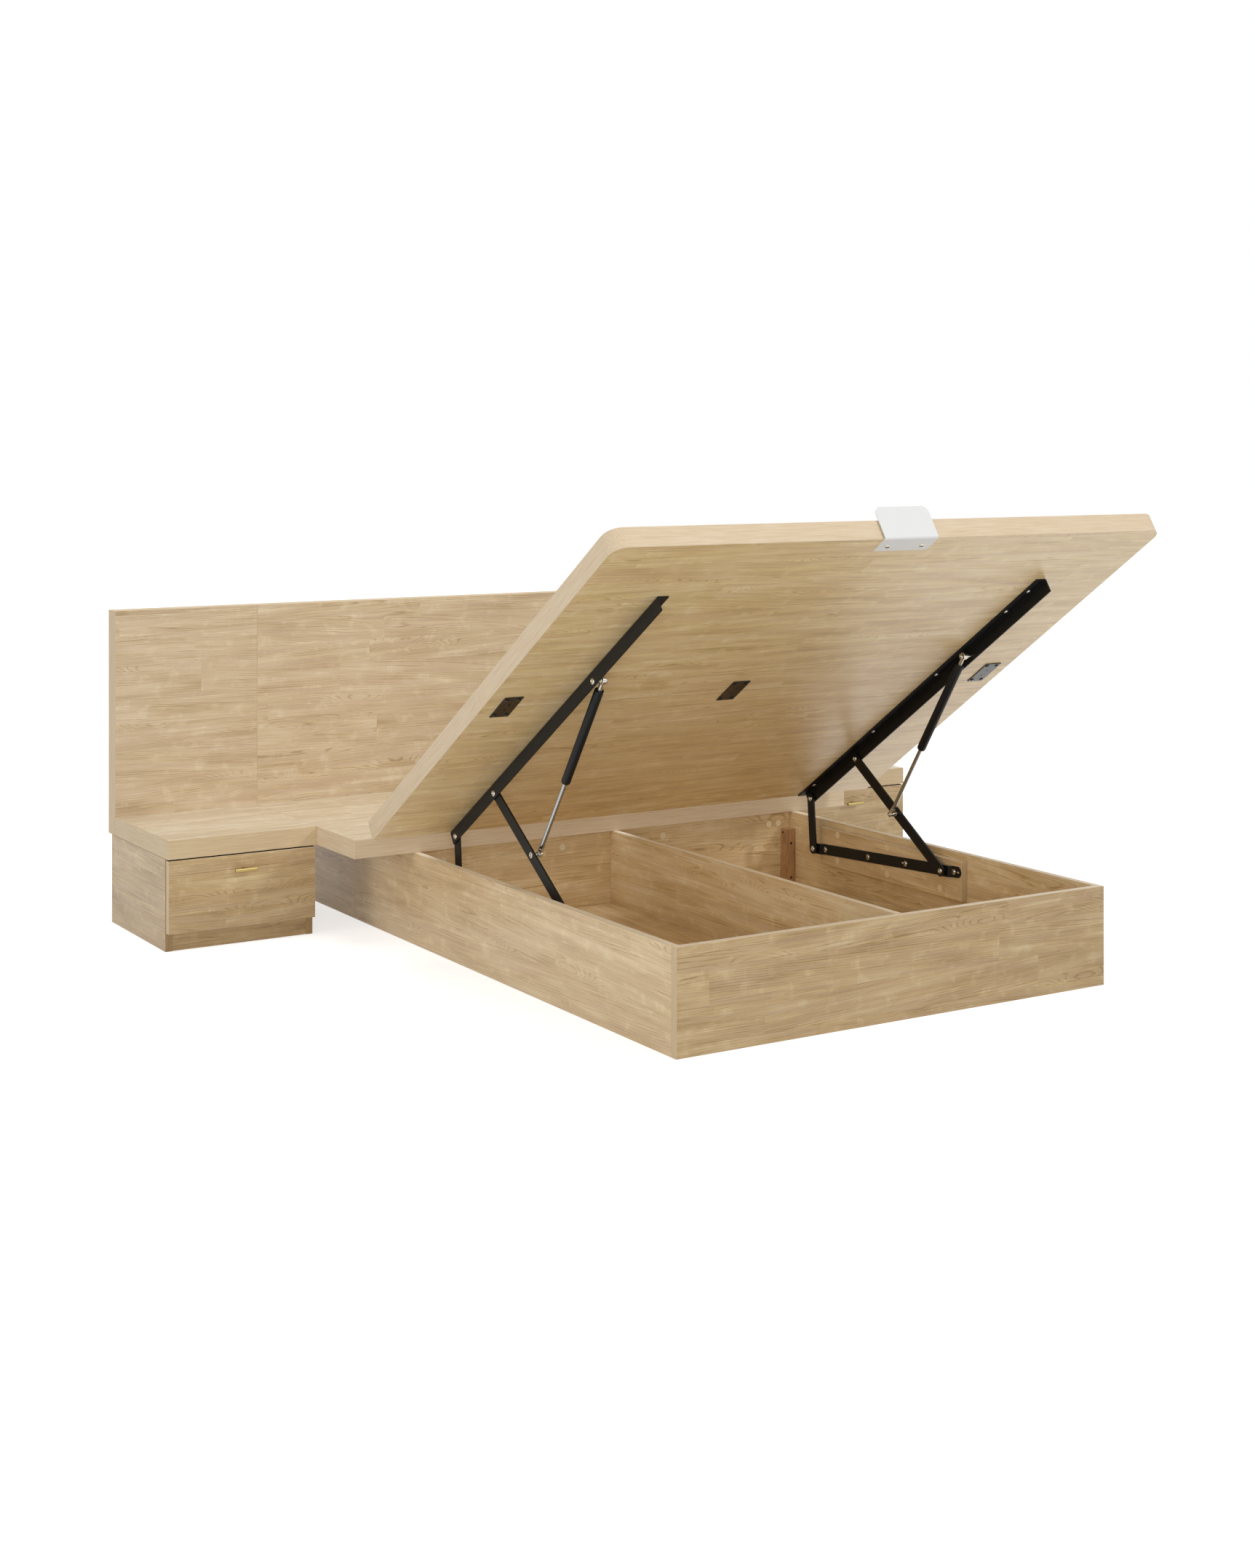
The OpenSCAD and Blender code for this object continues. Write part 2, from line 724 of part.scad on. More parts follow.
// A flat bar bent inwards at its two pivots, rising from the head to the foot
module base_rail(side) {
    length = rail_len + rail_tail;
    low = board_in;
    high = board_in - rail_joggle;
    path = [[-link_w / 2, high], [ear_back, high], [ear_back + ramp, low],
        [rail_len - ear_half - ramp, low], [rail_len - ear_half, high],
        [rail_len + ear_half, high], [rail_len + ear_half + ramp, low], [length, low]];
    outline = concat([for (p = path) [p[1], p[0]]],
        [for (i = [len(path) - 1:-1:0]) [path[i][1] - rail_t, path[i][0]]]);
    end_r = link_w / 2;
    color(black_steel) on_side(side) along(rear_base, front_base)
        difference() {
            intersection() {
                translate([0, 0, -link_w / 2]) linear_extrude(link_w) polygon(outline);
                union() {
                    block([rail_in - 20, 0, -link_w], [side_in, length - end_r, link_w]);
                    round_x([0, 0], rail_in - 20, side_in, end_r);
                    round_x([length - end_r, 0], rail_in - 20, side_in, end_r);
                }
            }
            for (y = [0, rail_len]) round_x([y, 0], ear_in - 1, ear_out + 1, pin_r + fit);
            for (y = rail_bolts) round_x([y, 0], rail_in - 1, board_in + 1, bolt_r + fit);
            for (y = rail_slots, end = [-0.5, 0.5])
                round_x([y + end * slot_l, 0], rail_in - 1, board_in + 1, slot_r);
            for (y = rail_slots)
                block([rail_in - 1, y - slot_l / 2, -slot_r], [board_in + 1, y + slot_l / 2, slot_r]);
        }
}

module base_rail_bolts() {
    color(zinc) both_sides() along(rear_base, front_base)
        for (y = rail_bolts) {
            round_x([y, 0], rail_in, board_in, bolt_r);
            round_x([y, 0], rail_in - bolt_head_t * 0.6, rail_in, bolt_head_r);
            translate([rail_in - bolt_head_t * 0.6, y, 0]) rotate([0, -90, 0])
                cylinder(r1 = bolt_head_r, r2 = bolt_head_r * 0.6, h = bolt_head_t * 0.4);
        }
}

// ---- Gas struts ----

// The strut's own frame: upper stud at Y 0, lower stud at strut_len
module in_strut() {
    along(strut_top, strut_foot) translate([strut_x, 0, 0]) children();
}

module rod_y(y0, y1, r) {
    translate([0, y0, 0]) rotate([-90, 0, 0]) cylinder(r = r, h = y1 - y0);
}

module strut_cylinder(side) {
    color(black_steel) on_side(side) in_strut()
        difference() {
            union() {
                round_x([0, 0], -eye_t / 2, eye_t / 2, eye_r);
                rod_y(0, tube_head - 6, neck_r);
                rod_y(tube_head - 6, tube_len - 3, tube_r);
                translate([0, tube_len - 3, 0]) rotate([-90, 0, 0])
                    cylinder(r1 = tube_r, r2 = tube_r - 2, h = 3);
            }
            round_x([0, 0], -eye_t, eye_t, pin_r + fit);
            rod_y(tube_head, tube_len - gland_len, tube_r - tube_wall);
            rod_y(tube_head, tube_len + 1, rod_r + fit);
        }
}

module strut_rod(side) {
    piston_y = tube_len - gland_len - piston_len - 2;
    color(zinc) on_side(side) in_strut() {
        rod_y(piston_y, piston_y + piston_len, tube_r - tube_wall - fit);
        rod_y(piston_y + piston_len, strut_len - 14, rod_r);
        rod_y(strut_len - 14, strut_len - socket_r * 0.7, neck_r);
        round_x([strut_len, 0], -eye_t / 2, eye_t / 2, socket_r);
        round_x([strut_len, 0], -eye_t / 2 - 3, -eye_t / 2, socket_r * 0.6);
    }
}

// ---- The bed ----

side_panel(-1);  // left_side_panel
side_panel(1);  // right_side_panel
foot_panel();
head_cross_panel();
divider(foot_y + board_t, cross_y);  // center_divider
divider(cross_y + board_t, back_y - board_t);  // rear_divider
rear_panel();
floor_panel(-1);  // left_floor_panel
floor_panel(1);  // right_floor_panel
floor_battens();
corner_posts();
hinge_board(-1);  // left_hinge_board
hinge_board(1);  // right_hinge_board
screw_caps();
platform_center();
nightstand_top(-1);  // left_nightstand_top
nightstand_top(1);  // right_nightstand_top
headboard_panel(-stand_out, -bed_w / 2);  // headboard_left_panel
headboard_panel(-bed_w / 2, bed_w / 2);  // headboard_center_panel
headboard_panel(bed_w / 2, stand_out);  // headboard_right_panel
headboard_plates();
nightstand_side(-1, true);  // left_nightstand_outer_side
nightstand_side(-1, false);  // left_nightstand_inner_side
nightstand_side(1, true);  // right_nightstand_outer_side
nightstand_side(1, false);  // right_nightstand_inner_side
nightstand_floors();
nightstand_kick_boards();
nightstand_back_panels();
base_rail(-1);  // left_base_rail
base_rail(1);  // right_base_rail
base_rail_bolts();
cabinet_runners();
lid_panel(-lid_len / 2, 0, 0);  // lid_head_panel
lid_panel(-lid_len, -lid_len / 2, lid_corner_r);  // lid_foot_panel
joining_plates();
top_rail(-1);  // left_top_rail
top_rail(1);  // right_top_rail
lid_screws();
mattress_stop();
strut_upper_studs();
lift_arm(-1);  // left_lift_arm
lift_arm(1);  // right_lift_arm
lift_arm_pins();
rear_link(-1);  // left_rear_link
rear_link(1);  // right_rear_link
rear_link_pins();
strut_cylinder(-1);  // left_strut_cylinder
strut_cylinder(1);  // right_strut_cylinder
strut_rod(-1);  // left_strut_rod
strut_rod(1);  // right_strut_rod
drawer_front(-1);  // left_drawer_front
drawer_box(-1);  // left_drawer_box
drawer_handle(-1);  // left_drawer_handle
drawer_runners(-1);  // left_drawer_runners
middle_runners(-1);  // left_middle_runners
drawer_front(1);  // right_drawer_front
drawer_box(1);  // right_drawer_box
drawer_handle(1);  // right_drawer_handle
drawer_runners(1);  // right_drawer_runners
middle_runners(1);  // right_middle_runners
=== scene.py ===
"""Looks of the storage bed: laminate boards, lift fittings, drawers and studio."""

import json
import math
import random

import bmesh
import bpy
from mathutils import Matrix, Vector

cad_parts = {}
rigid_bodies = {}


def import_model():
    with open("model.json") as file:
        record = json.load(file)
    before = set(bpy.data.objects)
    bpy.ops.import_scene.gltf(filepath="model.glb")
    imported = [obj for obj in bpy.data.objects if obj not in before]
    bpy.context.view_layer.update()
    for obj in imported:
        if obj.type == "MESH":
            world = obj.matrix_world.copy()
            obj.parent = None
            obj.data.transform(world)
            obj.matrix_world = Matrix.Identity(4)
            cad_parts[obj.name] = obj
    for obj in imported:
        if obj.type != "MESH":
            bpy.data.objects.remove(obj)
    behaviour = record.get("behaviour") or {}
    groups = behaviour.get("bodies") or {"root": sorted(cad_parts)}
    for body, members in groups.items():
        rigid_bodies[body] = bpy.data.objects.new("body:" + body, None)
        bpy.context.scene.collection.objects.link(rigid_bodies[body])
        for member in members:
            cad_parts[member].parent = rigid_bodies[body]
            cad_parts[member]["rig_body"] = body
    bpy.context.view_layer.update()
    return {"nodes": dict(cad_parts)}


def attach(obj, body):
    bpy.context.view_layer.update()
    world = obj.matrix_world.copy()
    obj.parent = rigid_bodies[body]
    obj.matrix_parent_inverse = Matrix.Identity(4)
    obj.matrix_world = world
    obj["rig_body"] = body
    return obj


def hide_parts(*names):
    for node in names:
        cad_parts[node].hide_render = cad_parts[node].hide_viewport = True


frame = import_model()
NODES = frame["nodes"]

MM = 0.001
AXES = "XYZ"

# ---- Camera: the photograph's own viewpoint, level, 32.4 degrees round from the foot ----

PHOTO_HEIGHT_PX = 2156
PHOTO_WIDTH_PX = 1725
FOCAL_PX = 3098.2
CENTRE_PX = (941.2, 597.0)
SENSOR_MM = 36.0

camera_data = bpy.data.cameras.new("photo_camera")
camera_data.sensor_width = SENSOR_MM
camera_data.lens = FOCAL_PX * SENSOR_MM / PHOTO_HEIGHT_PX
camera_data.shift_x = (PHOTO_WIDTH_PX / 2 - CENTRE_PX[0]) / PHOTO_HEIGHT_PX
camera_data.shift_y = (CENTRE_PX[1] - PHOTO_HEIGHT_PX / 2) / PHOTO_HEIGHT_PX
camera_data.clip_end = 100
camera = bpy.data.objects.new("photo_camera", camera_data)
camera.location = (-3.0430, -4.8533, 1.2807)
camera.rotation_euler = (math.radians(90), 0, math.radians(-32.39))
bpy.context.scene.collection.objects.link(camera)
bpy.context.scene.camera = camera


# ---- Materials ----


def linear(colour):
    """An sRGB hex colour as linear RGBA."""
    parts = [int(colour[i:i + 2], 16) / 255 for i in (1, 3, 5)]
    return [p / 12.92 if p <= 0.04045 else ((p + 0.055) / 1.055) ** 2.4 for p in parts] + [1.0]


def add(tree, kind, inputs=None, stops=None, **settings):
    """Adds a node: its settings, its input values or links, and a colour ramp's stops."""
    made = tree.nodes.new("ShaderNode" + kind)
    for key, value in settings.items():
        setattr(made, key, value)
    for key, value in (inputs or {}).items():
        if isinstance(value, bpy.types.NodeSocket):
            tree.links.new(value, made.inputs[key])
        else:
            made.inputs[key].default_value = value
    if stops:
        ramp = made.color_ramp
        while len(ramp.elements) < len(stops):
            ramp.elements.new(1.0)
        for element, (place, colour) in zip(ramp.elements, stops):
            element.position = place
            element.color = linear(colour) if isinstance(colour, str) else [colour] * 3 + [1.0]
    return made


def new_material(name):
    """An empty material with its node tree and a shader joined to its output."""
    material = bpy.data.materials.new(name)
    material.use_nodes = True
    tree = material.node_tree
    tree.nodes.clear()
    shader = add(tree, "BsdfPrincipled")
    add(tree, "OutputMaterial", {"Surface": shader.outputs["BSDF"]})
    return material, tree, shader


# Sizes of the printed grain, in millimetres. Real fibres are finer than FIBRE_WIDTH
STAVE_WIDTH = 72
PIECE_LENGTH = 980
RING_SPACING = 4.6
FIBRE_WIDTH = 1.5


def laminate(name, dark, mid, light, pink, attribute=True, turn=(0, 0, 0), gloss=0.0):
    """Melamine-faced board printed as staves of pale ash.

    The print gives staves some 70 mm wide that butt end to end, each piece with its own
    tone and growth rings: mostly long, straight lines some 5 mm apart, here and there closed
    into ovals round a knot. The coordinates are millimetres: X along the grain, Y across.
    """
    material, tree, shader = new_material(name)
    if attribute:
        place = add(tree, "Attribute", attribute_name="grain").outputs["Vector"]
    else:
        spot = add(tree, "TexCoord").outputs["Object"]
        place = add(tree, "Mapping", {"Vector": spot, "Rotation": [math.radians(a) for a in turn],
                                      "Scale": (1 / MM,) * 3}).outputs["Vector"]
    split = add(tree, "SeparateXYZ", {0: place})
    along, across = split.outputs[0], split.outputs[1]

    # Staves across the board and pieces along each stave, each with its own random colour
    stave_at = add(tree, "Math", {0: across, 1: 1 / STAVE_WIDTH}, operation="MULTIPLY").outputs[0]
    stave = add(tree, "TexVoronoi", {"W": stave_at, "Scale": 1.0, "Randomness": 0.55},
                voronoi_dimensions="1D")
    stave_edge = add(tree, "TexVoronoi", {"W": stave_at, "Scale": 1.0, "Randomness": 0.55},
                     voronoi_dimensions="1D", feature="DISTANCE_TO_EDGE")
    stave_dice = add(tree, "SeparateColor", {0: stave.outputs["Color"]})
    slid = add(tree, "Math", {0: stave_dice.outputs[0], 1: 53.0}, operation="MULTIPLY").outputs[0]
    piece_at = add(tree, "Math", {0: along, 1: 1 / PIECE_LENGTH, 2: slid},
                   operation="MULTIPLY_ADD").outputs[0]
    piece = add(tree, "TexVoronoi", {"W": piece_at, "Scale": 1.0, "Randomness": 0.8},
                voronoi_dimensions="1D")
    dice = add(tree, "SeparateColor", {0: piece.outputs["Color"]})
    both = add(tree, "VectorMath", {0: stave.outputs["Color"], 1: piece.outputs["Color"]},
               operation="ADD")
    shift = add(tree, "VectorMath", {0: both.outputs[0], 1: (4100.0, 900.0, 700.0)},
                operation="MULTIPLY")
    moved = add(tree, "VectorMath", {0: place, 1: shift.outputs[0]}, operation="ADD").outputs[0]

    # The grain of each piece runs up to 3 degrees off the board's own line
    skew = add(tree, "MapRange", {"Value": dice.outputs[2], "To Min": -0.05, "To Max": 0.05})
    slanted = add(tree, "Math", {0: along, 1: skew.outputs["Result"]}, operation="MULTIPLY")
    lean = add(tree, "CombineXYZ", {1: slanted.outputs[0]}).outputs[0]
    moved = add(tree, "VectorMath", {0: moved, 1: lean}, operation="ADD").outputs[0]
    drift = add(tree, "Math", {0: across, 1: slanted.outputs[0]}, operation="ADD").outputs[0]

    def scaled(x_mm, y_mm):
        return add(tree, "VectorMath", {0: moved, 1: (1 / x_mm, 1 / y_mm, 1 / y_mm)},
                   operation="MULTIPLY").outputs[0]

    # Growth rings, bent by a slow field and closed round the odd knot
    field = add(tree, "TexNoise", {"Vector": scaled(620, 52), "Scale": 1.0, "Detail": 1.0,
                                   "Roughness": 0.4})
    swing = add(tree, "MapRange", {"Value": dice.outputs[1], "From Min": 0.2, "To Min": 4.0,
                                   "To Max": 30.0})
    bent = add(tree, "Math", {0: field.outputs["Fac"], 1: swing.outputs["Result"]},
               operation="MULTIPLY").outputs[0]
    rows = add(tree, "Math", {0: drift, 1: 1 / RING_SPACING, 2: bent},
               operation="MULTIPLY_ADD").outputs[0]
    knot = add(tree, "TexVoronoi", {"Vector": scaled(300, 66), "Scale": 1.0, "Randomness": 1.0},
               voronoi_dimensions="2D")
    knot_dice = add(tree, "SeparateColor", {0: knot.outputs["Color"]})
    chosen = add(tree, "Math", {0: knot_dice.outputs[0], 1: 0.75}, operation="GREATER_THAN")
    hill = add(tree, "MapRange", {"Value": knot.outputs["Distance"], "From Min": 0.0,
                                  "From Max": 0.55, "To Min": 6.5, "To Max": 0.0},
               interpolation_type="SMOOTHSTEP")
    swirl = add(tree, "Math", {0: hill.outputs["Result"], 1: chosen.outputs[0]},
                operation="MULTIPLY").outputs[0]
    rows = add(tree, "Math", {0: rows, 1: swirl}, operation="ADD").outputs[0]
    ragged = add(tree, "TexNoise", {"Vector": scaled(70, 3.0), "Scale": 1.0, "Detail": 2.0,
                                    "Roughness": 0.6})
    rows = add(tree, "Math", {0: ragged.outputs["Fac"], 1: 0.5, 2: rows},
               operation="MULTIPLY_ADD").outputs[0]
    ring = add(tree, "Math", {0: rows}, operation="FRACT")
    late = add(tree, "ValToRGB", {"Fac": ring.outputs[0]},
               [(0.0, 0.22), (0.18, 0.0), (0.74, 0.08), (0.90, 1.0), (1.0, 0.22)])
    fade = add(tree, "TexNoise", {"Vector": scaled(190, 9), "Scale": 1.0, "Detail": 2.0})
    faded = add(tree, "MapRange", {"Value": fade.outputs["Fac"], "From Min": 0.38, "From Max": 0.64,
                                   "To Min": 0.18, "To Max": 1.0})
    rings = add(tree, "Math", {0: late.outputs["Color"], 1: faded.outputs["Result"]},
                operation="MULTIPLY").outputs[0]

    # Fibres, drawn wide enough to show; clouds; pale bars across them in patches
    fibre = add(tree, "TexNoise", {"Vector": scaled(170, FIBRE_WIDTH), "Scale": 1.0, "Detail": 3.0,
                                   "Roughness": 0.64}).outputs["Fac"]
    cloud = add(tree, "TexNoise", {"Vector": scaled(210, 30), "Scale": 1.0, "Detail": 3.0,
                                   "Roughness": 0.5}).outputs["Fac"]
    patch = add(tree, "TexNoise", {"Vector": scaled(38, 34), "Scale": 1.0, "Detail": 2.0})
    patches = add(tree, "MapRange", {"Value": patch.outputs["Fac"], "From Min": 0.54,
                                     "From Max": 0.80})
    bars = add(tree, "TexNoise", {"Vector": scaled(4.5, 26), "Scale": 1.0, "Detail": 1.0})
    barred = add(tree, "Math", {0: bars.outputs["Fac"], 1: fibre}, operation="MULTIPLY").outputs[0]
    ripple = add(tree, "Math", {0: barred, 1: patches.outputs["Result"]},
                 operation="MULTIPLY").outputs[0]
    pore = add(tree, "TexNoise", {"Vector": scaled(24, 1.0), "Scale": 1.0, "Detail": 1.0})
    pores = add(tree, "ValToRGB", {"Fac": pore.outputs["Fac"]}, [(0.58, 0.0), (0.72, 1.0)])

    # One value from all of them: 0.5 is the board's own colour, less is darker
    tone = 0.5
    for part, weight, middle in ((rings, -0.56, 0.12), (fibre, 0.95, 0.5), (cloud, 0.95, 0.5),
                                 (ripple, 1.1, 0.02), (pores.outputs["Color"], -0.12, 0.14),
                                 (dice.outputs[0], 0.07, 0.5)):
        tone = add(tree, "Math", {0: part, 1: weight, 2: add(tree, "Math", {
            0: tone, 1: weight * middle}, operation="SUBTRACT").outputs[0]},
            operation="MULTIPLY_ADD").outputs[0]
    seam = add(tree, "MapRange", {"Value": stave_edge.outputs["Distance"], "From Max": 0.012,
                                  "To Min": 0.09, "To Max": 0.0})
    tone = add(tree, "Math", {0: tone, 1: seam.outputs["Result"]}, operation="SUBTRACT").outputs[0]
    colour = add(tree, "ValToRGB", {"Fac": tone}, [(0.1, dark), (0.5, mid), (0.9, light)])
    # Streaks a shade pinker than the rest
    streak = add(tree, "TexNoise", {"Vector": scaled(340, 11), "Scale": 1.0, "Detail": 3.0,
                                    "Roughness": 0.6})
    pinker = add(tree, "MapRange", {"Value": streak.outputs["Fac"], "From Min": 0.42,
                                    "From Max": 0.66, "To Max": 0.45})
    tinted = add(tree, "MixRGB", {0: pinker.outputs["Result"], 1: colour.outputs["Color"],
                                  2: linear(pink)})
    tree.links.new(tinted.outputs[0], shader.inputs["Base Color"])
    rough = add(tree, "MapRange", {"Value": fibre, "From Min": 0.3, "From Max": 0.7,
                                   "To Min": 0.42, "To Max": 0.32})
    tree.links.new(rough.outputs["Result"], shader.inputs["Roughness"])
    shader.inputs["Coat Weight"].default_value = gloss
    shader.inputs["Coat Roughness"].default_value = 0.38
    height = add(tree, "Math", {0: fibre, 1: pores.outputs["Color"]}, operation="SUBTRACT")
    bump = add(tree, "Bump", {"Height": height.outputs[0], "Strength": 0.10, "Distance": 0.0002})
    tree.links.new(bump.outputs["Normal"], shader.inputs["Normal"])
    return material


def edge_band(name, dark, mid, light):
    """Printed edging, some 1 mm of ABS: straight, close grain and no rings."""
    material, tree, shader = new_material(name)
    place = add(tree, "Attribute", attribute_name="grain").outputs["Vector"]
    fine_at = add(tree, "VectorMath", {0: place, 1: (1 / 80, 1 / 1.6, 1 / 1.6)},
                  operation="MULTIPLY")
    fine = add(tree, "TexNoise", {"Vector": fine_at.outputs[0], "Scale": 1.0, "Detail": 4.0,
                                  "Roughness": 0.68})
    colour = add(tree, "ValToRGB", {"Fac": fine.outputs["Fac"]}, [
        (0.18, dark), (0.5, mid), (0.82, light)])
    tree.links.new(colour.outputs["Color"], shader.inputs["Base Color"])
    shader.inputs["Roughness"].default_value = 0.45
    shader.inputs["Specular IOR Level"].default_value = 0.35
    bump = add(tree, "Bump", {"Height": fine.outputs["Fac"], "Strength": 0.08,
                              "Distance": 0.0003})
    tree.links.new(bump.outputs["Normal"], shader.inputs["Normal"])
    return material


def coated_steel(name, colour, roughness, grit_mm=1.4, strength=0.05, specular=0.5):
    """Powder-coated or plated steel: an even colour under a fine orange-peel surface."""
    material, tree, shader = new_material(name)
    spot = add(tree, "TexCoord").outputs["Object"]
    peel = add(tree, "TexNoise", {"Vector": spot, "Scale": 1 / (grit_mm * MM), "Detail": 2.0})
    shader.inputs["Base Color"].default_value = linear(colour)
    shader.inputs["Specular IOR Level"].default_value = specular
    rough = add(tree, "MapRange", {"Value": peel.outputs["Fac"], "To Min": roughness - 0.06,
                                   "To Max": roughness + 0.06})
    tree.links.new(rough.outputs["Result"], shader.inputs["Roughness"])
    bump = add(tree, "Bump", {"Height": peel.outputs["Fac"], "Strength": strength,
                              "Distance": 0.0004})
    tree.links.new(bump.outputs["Normal"], shader.inputs["Normal"])
    return material


def bare_metal(name, colour, roughness):
    """Bare or plated metal with fine marks, some 900 to the metre."""
    material, tree, shader = new_material(name)
    spot = add(tree, "TexCoord").outputs["Object"]
    marks_at = add(tree, "VectorMath", {0: spot, 1: (900, 900, 900)}, operation="MULTIPLY")
    marks = add(tree, "TexNoise", {"Vector": marks_at.outputs[0], "Scale": 1.0, "Detail": 2.0})
    shader.inputs["Base Color"].default_value = linear(colour)
    shader.inputs["Metallic"].default_value = 1.0
    rough = add(tree, "MapRange", {"Value": marks.outputs["Fac"], "To Min": roughness - 0.08,
                                   "To Max": roughness + 0.08})
    tree.links.new(rough.outputs["Result"], shader.inputs["Roughness"])
    bump = add(tree, "Bump", {"Height": marks.outputs["Fac"], "Strength": 0.03,
                              "Distance": 0.0002})
    tree.links.new(bump.outputs["Normal"], shader.inputs["Normal"])
    return material


# One laminate in several shades, because groups of boards show different shades in the
# photograph. They stand in for light that the lamps here don't reproduce
# Headboard and boards not named elsewhere: pale straw, dull, a little pink
ASH = laminate("ash_laminate", "#AC926C", "#D2BC99", "#E5D6BA", "#C7AD97")
# Left side of the box: lighter and warmer, painted light
ASH_SIDE = laminate("ash_side_laminate", "#B8986A", "#E0C497", "#F4DFB8", "#D2B393")
# Platform, nightstand tops and the lid's upper side: the palest, near cream, painted light
ASH_TOP = laminate("ash_top_laminate", "#B39C78", "#DAC9A9", "#EDE4CE", "#CCB7A5")
# Foot panel, drawer fronts and nightstands' outer sides: deeper and browner, painted shade
ASH_FRONT = laminate("ash_front_laminate", "#937649", "#C1A476", "#D8C298", "#B39579")
# The lid's under side: warm yellow, lightened as painted light, under a soft sheen from its coat
ASH_LID = laminate("ash_lid_laminate", "#B5985F", "#E7CB93", "#F7E6BD", "#D2B091", gloss=0.45)
# Inside of the box: warm yellow, lighter as painted light, dull
ASH_INSIDE = laminate("ash_inside_laminate", "#B59560", "#E4C999", "#F4E5C3", "#D2B491")
# Plain inner boards and drawer boxes: a duller tan
INNER_BOARD = laminate("ash_inner_board", "#A78B60", "#D1B88D", "#E2D0B0", "#C2A78C",
                       attribute=False)
# Plinth boards: brown, darkened as painted shade
KICK_BOARD = laminate("ash_plinth_board", "#8E7145", "#BD9E6D", "#D2B98B", "#AD8F6B",
                      attribute=False)
# Corner posts: reddish pine, grain upright
POST_WOOD = laminate("pine_batten", "#7E5B3C", "#B98F63", "#D2AE80", "#A87B5B",
                     attribute=False, turn=(0, 90, 0))
# Edge bands, all straight and close: straw; brown, painted shade, for the nightstand sides;
# cream; and the palest, painted light, for top edges
ASH_EDGE = edge_band("ash_edging", "#BDA17A", "#D2BA94", "#E3D0AF")
EDGE_SHADE = edge_band("ash_plinth_edging", "#8D7048", "#A98B60", "#BEA278")
SOFT_EDGE = edge_band("cream_ash_edging", "#C8AE8A", "#DFC9A9", "#ECDEC4")
PALE_EDGE = edge_band("pale_ash_edging", "#DDC9A9", "#F1E1C7", "#FAF1E0")
# Caps over the hinge boards' screws: pale cream dots
CAP = edge_band("cap_film", "#DFCBA3", "#EEDEBB", "#F6EBCF")
# Lift fittings: near black, satin
BLACK_STEEL = coated_steel("black_powder_coat", "#0F1011", 0.46, specular=0.24)
# Joining plates: black, smooth enough to turn grey at a low angle
PLATE_STEEL = coated_steel("black_gloss_plate", "#0E0F11", 0.17, grit_mm=3.0, strength=0.01)
# Mattress stop: clean white, satin
WHITE_STEEL = coated_steel("white_powder_coat", "#E9E9E8", 0.42)
# Painted shade on the drawer fronts' top edges: makes the gap above them read black
GAP_SHADE = coated_steel("dark_buffer_film", "#17120E", 0.7, specular=0.1)
# Painted shade, black, in the cross recesses, on the posts' screws and at the open holes
RECESS_SHADE = coated_steel("blackened_recess", "#0B0A09", 0.6)
# Rivets, studs, bolts and screws: bright, slightly warm
NICKEL = bare_metal("nickel_plate", "#C4BEB2", 0.26)
# Strut rods: bright, slightly cool, the smoothest
POLISHED_ROD = bare_metal("ground_rod", "#A9ADB2", 0.2)
# Drawer runners: pale grey, blurred
ZINC = bare_metal("bright_zinc", "#C6C8C9", 0.34)
# Drawer handles: muted gold, blurred
BRASS = bare_metal("satin_brass", "#AC9862", 0.36)

# ---- Boards ----


def grain_axes(size, normal_axis, thin_axis, grain_axis):
    """The axes that run along and across the grain on a face with that normal."""
    if normal_axis == thin_axis:
        return grain_axis, 3 - thin_axis - grain_axis
    others = [a for a in range(3) if a != normal_axis]
    others.sort(key=lambda a: -size[a])
    return others[0], others[1]


